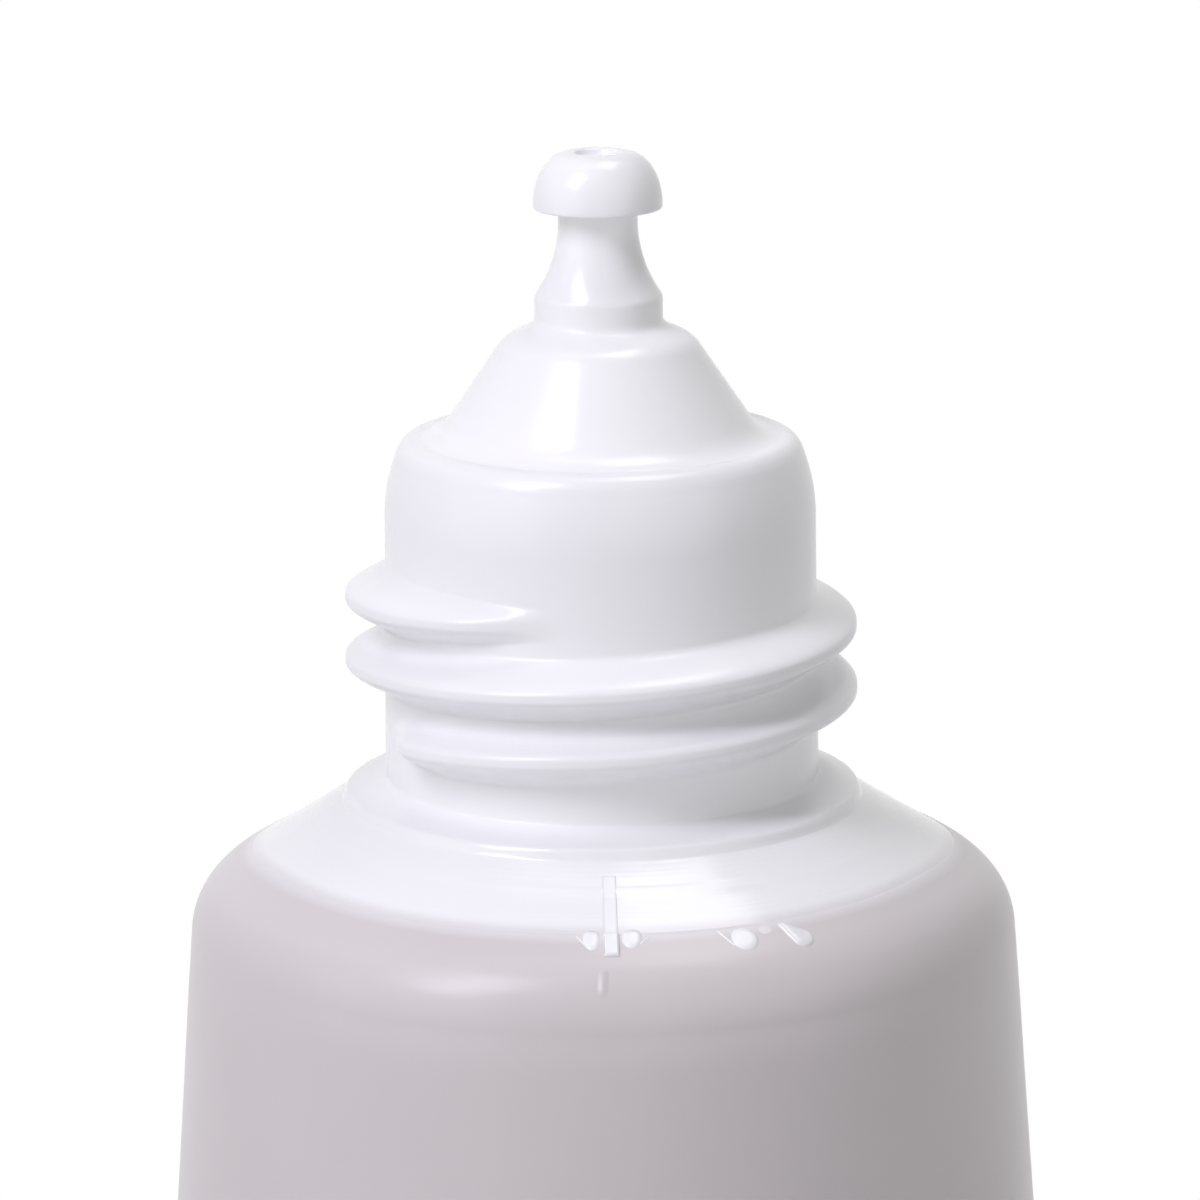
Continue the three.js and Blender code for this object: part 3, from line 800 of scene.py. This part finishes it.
# %% Node helpers
def add(tree, kind, sockets=None, **settings):
    """Adds a shader node. A socket takes a value, or the output of another node."""
    node = tree.nodes.new("ShaderNode" + kind)
    for key, value in settings.items():
        setattr(node, key, value)
    for key, value in (sockets or {}).items():
        if isinstance(value, bpy.types.NodeSocket):
            tree.links.new(value, node.inputs[key])
        else:
            node.inputs[key].default_value = value
    return node


def new_group(name, inputs, outputs):
    """A shader node group with float inputs and outputs, and its two end nodes."""
    tree = bpy.data.node_groups.new(name, "ShaderNodeTree")
    for socket, value in inputs.items():
        made = tree.interface.new_socket(name=socket, in_out="INPUT", socket_type="NodeSocketFloat")
        made.default_value = value
    for socket in outputs:
        tree.interface.new_socket(name=socket, in_out="OUTPUT", socket_type="NodeSocketFloat")
    return tree, tree.nodes.new("NodeGroupInput"), tree.nodes.new("NodeGroupOutput")


def new_material(name):
    """A node material with its Principled shader."""
    material = bpy.data.materials.new(name)
    material.use_nodes = True
    return material, material.node_tree, material.node_tree.nodes["Principled BSDF"]


# %% [markdown]
# ## Moulded skin and turning marks
#
# A moulded skin is never quite even: the melt leaves a broad, milky unevenness, and the steel a fine grain.
# The head's mould was turned on a lathe, so its shoulder also carries fine rings. Each is a node group with
# its own sizes as inputs. Every plastic here has the skin, and the head has the rings as well.

# %% Shared surface groups
def moulded_skin_group():
    """Broad and fine unevenness on Object coordinates. Sizes are millimetres."""
    tree, start, end = new_group("moulded_skin", {"Broad Size": 6, "Fine Size": 0.3}, ["Broad", "Fine"])
    place = add(tree, "TexCoord")
    for output, detail in (("Broad", 2), ("Fine", 3)):
        scale = add(tree, "Math", {0: 1 / MM, 1: start.outputs[output + " Size"]}, operation="DIVIDE")
        noise = add(tree, "TexNoise", {"Vector": place.outputs["Object"], "Detail": detail})
        tree.links.new(scale.outputs[0], noise.inputs["Scale"])
        tree.links.new(noise.outputs["Fac"], end.inputs[output])
    return tree


def turning_marks_group():
    """Rings around the axis, as a value that changes only with the distance from it."""
    tree, start, end = new_group("turning_marks", {"Ring Spacing": 0.1}, ["Rings"])
    place = add(tree, "TexCoord")
    flat = add(tree, "VectorMath", {0: place.outputs["Object"], 1: (1, 1, 0)}, operation="MULTIPLY")
    radius = add(tree, "VectorMath", {0: flat.outputs[0]}, operation="LENGTH")
    scale = add(tree, "Math", {0: 1 / MM, 1: start.outputs["Ring Spacing"]}, operation="DIVIDE")
    noise = add(tree, "TexNoise", {"W": radius.outputs["Value"], "Scale": scale.outputs[0], "Detail": 2},
                noise_dimensions="1D")
    tree.links.new(noise.outputs["Fac"], end.inputs["Rings"])
    return tree


moulded_skin = moulded_skin_group()
turning_marks = turning_marks_group()


def place_group(tree, group, **values):
    """Places a node group in a material with its own values."""
    node = tree.nodes.new("ShaderNodeGroup")
    node.node_tree = group
    for key, value in values.items():
        node.inputs[key.replace("_", " ")].default_value = value
    return node


NOISE_LOW, NOISE_HIGH = 0.3, 0.7


def spread(tree, value, low, high):
    """A 0 to 1 noise value spread between two limits. Noise keeps near its middle, so that is stretched."""
    made = add(tree, "MapRange", {"Value": value, "From Min": NOISE_LOW, "From Max": NOISE_HIGH})
    made.inputs["To Min"].default_value = low
    made.inputs["To Max"].default_value = high
    return made.outputs["Result"]


def blend(tree, share, first, second):
    """The output of a colour mix. Each colour is a value, or the output of another node."""
    return add(tree, "Mix", {"Factor": share, 6: first, 7: second}, data_type="RGBA").outputs[2]


# %% [markdown]
# ## White plastic
#
# Head and nozzle are opaque white polyethylene with a moulded gloss. The neck and its thread are satin, and
# the shoulder, whose mould was polished, is glossier. Real polyethylene lets light a little way in, but in
# thin, touching shells such as these that only draws grey lines along every seam. So the colour stays plain,
# and pale enough that light bounces well into the thread's grooves.

# %% White plastics
EDGE_PAINTED_LIGHT_TINT = (0.80, 0.775, 0.79, 1)
HEAD_TONES = (0.92, 0.921, 0.937, 1), (0.94, 0.94, 0.954, 1)
NOZZLE_TONES = (0.955, 0.956, 0.968, 1), (0.97, 0.97, 0.98, 1)
SHOULDER_POLISH, POLISH_FADE = 0.1, (-0.1, 0.3)
HEAD_ROUGHNESS, FLASH_ROUGHNESS, NOZZLE_ROUGHNESS = 0.24, 0.2, 0.19
ROUGHNESS_SPREAD, WHITE_SPECULAR = 0.02, 0.4
WHITE_SKIN = {"Broad_Size": 5.0, "Fine_Size": 0.16}
HEAD_GRAIN, NOZZLE_GRAIN = 0.0006, 0.0005
TURNING_SPACING, TURNING_DEPTH = 0.12, 0.004


def polish(tree, gloss):
    """Takes roughness away below the collar, where the mould was turned and polished."""
    place = add(tree, "TexCoord")
    height = add(tree, "SeparateXYZ", {0: place.outputs["Object"]})
    low, high = ((collar_z + fade) * MM for fade in POLISH_FADE)
    less = add(tree, "MapRange", {"Value": height.outputs["Z"], "From Min": low, "From Max": high})
    less.inputs["To Min"].default_value = -SHOULDER_POLISH
    less.inputs["To Max"].default_value = 0
    return add(tree, "Math", {0: gloss, 1: less.outputs["Result"]}, operation="ADD").outputs[0]


def white_plastic(name, tones, roughness, grain, rings=False):
    """White polyethylene with a milky unevenness, fine grain and, from a turned mould, polish and rings."""
    material, tree, shader = new_material(name)
    skin = place_group(tree, moulded_skin, **WHITE_SKIN)
    tone = blend(tree, spread(tree, skin.outputs["Broad"], 0, 1), *tones)
    # Near the sleeve's edge the white turns towards the edge colour: painted shade on the head, painted shade
    # lines beside the gate strip, and the sleeve showing through the thin flash.
    edge = add(tree, "Attribute", attribute_name="edge_tint_and_painted_light")
    tree.links.new(blend(tree, edge.outputs["Fac"], tone, EDGE_PAINTED_LIGHT_TINT), shader.inputs["Base Color"])
    gloss = spread(tree, skin.outputs["Fine"], roughness - ROUGHNESS_SPREAD, roughness + ROUGHNESS_SPREAD)
    bump = add(tree, "Bump", {"Height": skin.outputs["Fine"], "Strength": 1.0, "Distance": grain * MM})
    if rings:
        gloss = polish(tree, gloss)
        turning = place_group(tree, turning_marks, Ring_Spacing=TURNING_SPACING)
        over = add(tree, "Bump", {"Height": turning.outputs["Rings"], "Strength": 1.0})
        over.inputs["Distance"].default_value = TURNING_DEPTH * MM
        tree.links.new(over.outputs["Normal"], bump.inputs["Normal"])
    tree.links.new(gloss, shader.inputs["Roughness"])
    tree.links.new(bump.outputs["Normal"], shader.inputs["Normal"])
    shader.inputs["Specular IOR Level"].default_value = WHITE_SPECULAR
    return material


head_white = white_plastic("white_head_plastic", HEAD_TONES, HEAD_ROUGHNESS, HEAD_GRAIN, rings=True)
flash_white = white_plastic("white_flash_plastic", HEAD_TONES, FLASH_ROUGHNESS, HEAD_GRAIN)
nozzle_white = white_plastic("white_nozzle_plastic", NOZZLE_TONES, NOZZLE_ROUGHNESS, NOZZLE_GRAIN)

# %% [markdown]
# ## Taupe sleeve
#
# The sleeve is an extruded, dyed film with a satin skin. It is a little uneven in tone and gloss, waves very
# slightly, and pales towards its edge: partly the thin film over the white head, partly painted light where
# it faces up.

# %% Sleeve plastic
SLEEVE_TONES = (0.655, 0.614, 0.617, 1), (0.680, 0.638, 0.641, 1)
SLEEVE_ROUGHNESS, SLEEVE_SPECULAR = (0.285, 0.305), 0.32
SLEEVE_SKIN, SLEEVE_WAVE = {"Broad_Size": 8.0, "Fine_Size": 0.3}, 0.012


def taupe_plastic():
    """The sleeve's satin skin, paler at its edge: partly the white head behind it, partly painted light."""
    material, tree, shader = new_material("taupe_sleeve_plastic")
    skin = place_group(tree, moulded_skin, **SLEEVE_SKIN)
    tone = blend(tree, spread(tree, skin.outputs["Broad"], 0, 1), *SLEEVE_TONES)
    # The edge colour paints light on the sleeve: paler near its edge and faintly over its up-facing cone,
    # partly for the white head behind the film.
    edge = add(tree, "Attribute", attribute_name="edge_tint_and_painted_light")
    tree.links.new(blend(tree, edge.outputs["Fac"], tone, EDGE_PAINTED_LIGHT_TINT), shader.inputs["Base Color"])
    tree.links.new(spread(tree, skin.outputs["Fine"], *SLEEVE_ROUGHNESS), shader.inputs["Roughness"])
    bump = add(tree, "Bump", {"Height": skin.outputs["Broad"], "Strength": 1.0, "Distance": SLEEVE_WAVE * MM})
    tree.links.new(bump.outputs["Normal"], shader.inputs["Normal"])
    shader.inputs["Specular IOR Level"].default_value = SLEEVE_SPECULAR
    return material


sleeve_taupe = taupe_plastic()
print("materials", [material.name for material in (head_white, flash_white, nozzle_white, sleeve_taupe)])

# %% [markdown]
# ## Dressing the bodies
#
# Each skin stands for its solid, which is hidden, gets its finish and rides on its body, so that the nozzle
# slides out of the neck with everything on it.

# %% Dress the pieces
def dress(piece, material, body, node=None):
    """Gives a piece its finish and ties it to the frame."""
    piece.data.materials.clear()
    piece.data.materials.append(material)
    if node:
        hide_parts(node)
    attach(piece, body)
    print(f"{piece.name} in {material.name} rides on {body}")


dress(sleeve, sleeve_taupe, "tube", "tube_sleeve")
dress(head, head_white, "tube", "tube_head")
dress(nozzle, nozzle_white, "nozzle", "dropper_nozzle")
dress(mould_marks, flash_white, "tube")
dress(crease, sleeve_taupe, "tube")

# %% [markdown]
# ## Camera
#
# A long lens looks down a little on the tube from the front, so that the rim and the collar show as flat
# ovals. Its place and its slight roll were worked out from those ovals.

# %% Camera
CAMERA_DISTANCE = 193.94
CAMERA_ABOVE_COLLAR = 50.81
CAMERA_SIDE = -0.026
CAMERA_PITCH = math.radians(13.10)
CAMERA_ROLL = math.radians(0.45)
SENSOR_WIDTH = 36
FOCAL_LENGTH = 199.47

place = Vector((CAMERA_SIDE, -CAMERA_DISTANCE, collar_z + CAMERA_ABOVE_COLLAR)) * MM
bpy.ops.object.camera_add(location=place)
camera = bpy.context.object
camera.data.sensor_width = SENSOR_WIDTH
camera.data.lens = FOCAL_LENGTH
camera.data.clip_start = 0.01
turn = Matrix.Rotation(math.pi / 2 - CAMERA_PITCH, 4, "X") @ Matrix.Rotation(-CAMERA_ROLL, 4, "Z")
camera.rotation_euler = turn.to_euler()
bpy.context.scene.camera = camera
print("camera at", [round(value, 4) for value in place])

# %% [markdown]
# ## Floor and surroundings
#
# The tube stands on a pale floor that takes its shadow. Away from the tube the floor is plain white to the
# camera, like the sweep of a photo studio, while the light that it throws back stays that of a pale floor.
# The world around is a dim, even dome that looks white in the same way.

# %% Floor
FLOOR_DROP = 0.2
FLOOR_SIZE, FLOOR_ROUGHNESS = 6, 0.9
FLOOR_NEAR, FLOOR_FAR = 0.10, 0.25
FLOOR_TONE, FLOOR_SEEN_TONE = (0.74, 0.74, 0.74, 1), (0.95, 0.95, 0.95, 1)


def white_to_camera(tree):
    """1 for rays whose colour is seen directly, in a mirror or through glass."""
    path = add(tree, "LightPath")
    seen = path.outputs["Is Camera Ray"]
    for kind in ("Is Glossy Ray", "Is Transmission Ray"):
        seen = add(tree, "Math", {0: seen, 1: path.outputs[kind]}, operation="MAXIMUM").outputs[0]
    return seen


def soft_range(tree, value, low, high):
    """0 below low and 1 above high, with a soft start and end."""
    made = add(tree, "MapRange", {"Value": value, "From Min": low, "From Max": high})
    made.interpolation_type = "SMOOTHSTEP"
    return made.outputs["Result"]


def floor_material():
    """A pale matt floor that turns plain white away from the tube."""
    material, tree, shader = new_material("pale_floor")
    seen = white_to_camera(tree)
    tree.links.new(blend(tree, seen, FLOOR_TONE, FLOOR_SEEN_TONE), shader.inputs["Base Color"])
    shader.inputs["Roughness"].default_value = FLOOR_ROUGHNESS
    place = add(tree, "TexCoord")
    away = add(tree, "VectorMath", {0: place.outputs["Object"]}, operation="LENGTH")
    far = soft_range(tree, away.outputs["Value"], FLOOR_NEAR, FLOOR_FAR)
    share = add(tree, "Math", {0: seen, 1: far}, operation="MULTIPLY")
    white = add(tree, "Emission", {"Strength": 1.0})
    mix = add(tree, "MixShader", {0: share.outputs[0], 1: shader.outputs[0], 2: white.outputs[0]})
    tree.links.new(mix.outputs[0], tree.nodes["Material Output"].inputs["Surface"])
    return material


bpy.ops.object.select_all(action="DESELECT")
bpy.ops.mesh.primitive_plane_add(size=FLOOR_SIZE, location=(0, 0, -FLOOR_DROP * MM))
floor = bpy.context.object
floor.name = "floor"
floor.data.materials.append(floor_material())
print(f"floor {FLOOR_DROP} mm below the tube")

# %% World
DOME_LIGHT = 0.15


def studio_world():
    """An even soft dome that looks white."""
    world = bpy.data.worlds.new("studio")
    world.use_nodes = True
    tree = world.node_tree
    dome = tree.nodes["Background"]
    dome.inputs["Color"].default_value = (1, 1, 1, 1)
    dome.inputs["Strength"].default_value = DOME_LIGHT
    white = add(tree, "Background", {"Color": (1, 1, 1, 1), "Strength": 1.0})
    mix = add(tree, "MixShader", {0: white_to_camera(tree), 1: dome.outputs[0], 2: white.outputs[0]})
    tree.links.new(mix.outputs[0], tree.nodes["World Output"].inputs["Surface"])
    return world


bpy.context.scene.world = studio_world()
print("dome light", DOME_LIGHT)

# %% [markdown]
# ## Lamps
#
# A soft box high at the front left makes the bright stripe on the cone and leaves the right in shade. It
# grows bright from one side, so that the stripe has one soft edge. A box high behind and a strip above
# glance off the shoulder and the rim. A wide, dim panel on each side of the camera reaches into the thread's
# grooves.

# %% Lamps
def direction(azimuth, elevation):
    """A unit vector. The azimuth is degrees from the front towards the right."""
    a, e = math.radians(azimuth), math.radians(elevation)
    return Vector((math.sin(a) * math.cos(e), -math.cos(a) * math.cos(e), math.sin(e)))


def soft_box(name, place, facing, across, size, power, color=(1, 1, 1), fade=None):
    """An area lamp at a place, with its wide side along across. Lengths are metres, power is watts.

    A fade is the share of its width over which the lamp grows bright, from one side."""
    bpy.ops.object.light_add(type="AREA", location=place)
    light = bpy.context.object
    light.name = light.data.name = name
    light.data.shape = "RECTANGLE"
    light.data.size, light.data.size_y = size
    light.data.energy = power
    light.data.color = color
    if fade:
        light.data.use_nodes = True
        tree = light.data.node_tree
        spot = add(tree, "NewGeometry")
        side = add(tree, "SeparateXYZ", {0: spot.outputs["Parametric"]})
        share = soft_range(tree, side.outputs["X"], *fade)
        slow = add(tree, "Math", {0: share, 1: 2}, operation="POWER")
        tree.links.new(slow.outputs[0], tree.nodes["Emission"].inputs["Strength"])
    back = -facing.normalized()
    wide = (across - back * across.dot(back)).normalized()
    light.rotation_euler = Matrix((wide, back.cross(wide), back)).transposed().to_euler()


KEY_AZIMUTH, KEY_ELEVATION, KEY_DISTANCE, KEY_LEAN = -60, 46, 0.5, 13
KEY_SIZE, KEY_POWER, KEY_COLOR, KEY_FADE = (0.3, 0.27), 3.45, (1.0, 0.97, 1.11), (0, 1)
ACROSS = Vector((1, 0, 0))
# Direction, distance, size and power
PLAIN_LAMPS = {
    "top_box": (direction(128.7, 75.2), 0.45, (0.145, 0.23), 0.38),
    "sky_strip": (direction(180, 90), 0.5, (0.42, 0.14), 0.22),
    "left_panel": (direction(-60, 5), 0.6, (0.65, 0.65), 1.0),
    "right_panel": (direction(38, 12), 0.6, (0.65, 0.65), 0.92),
}

aim = Vector((0, 0, rim_z * MM))
key_way = direction(KEY_AZIMUTH, KEY_ELEVATION)
key_across = Matrix.Rotation(math.radians(-KEY_LEAN), 3, key_way) @ direction(KEY_AZIMUTH + 90, 0)
key_place = aim + key_way * KEY_DISTANCE
soft_box("key_box", key_place, -key_way, key_across, KEY_SIZE, KEY_POWER, KEY_COLOR, KEY_FADE)
for name, (way, distance, size, power) in PLAIN_LAMPS.items():
    soft_box(name, aim + way * distance, -way, ACROSS, size, power)
bpy.context.scene.view_settings.view_transform = "Standard"
print("lamps", ["key_box", *PLAIN_LAMPS])
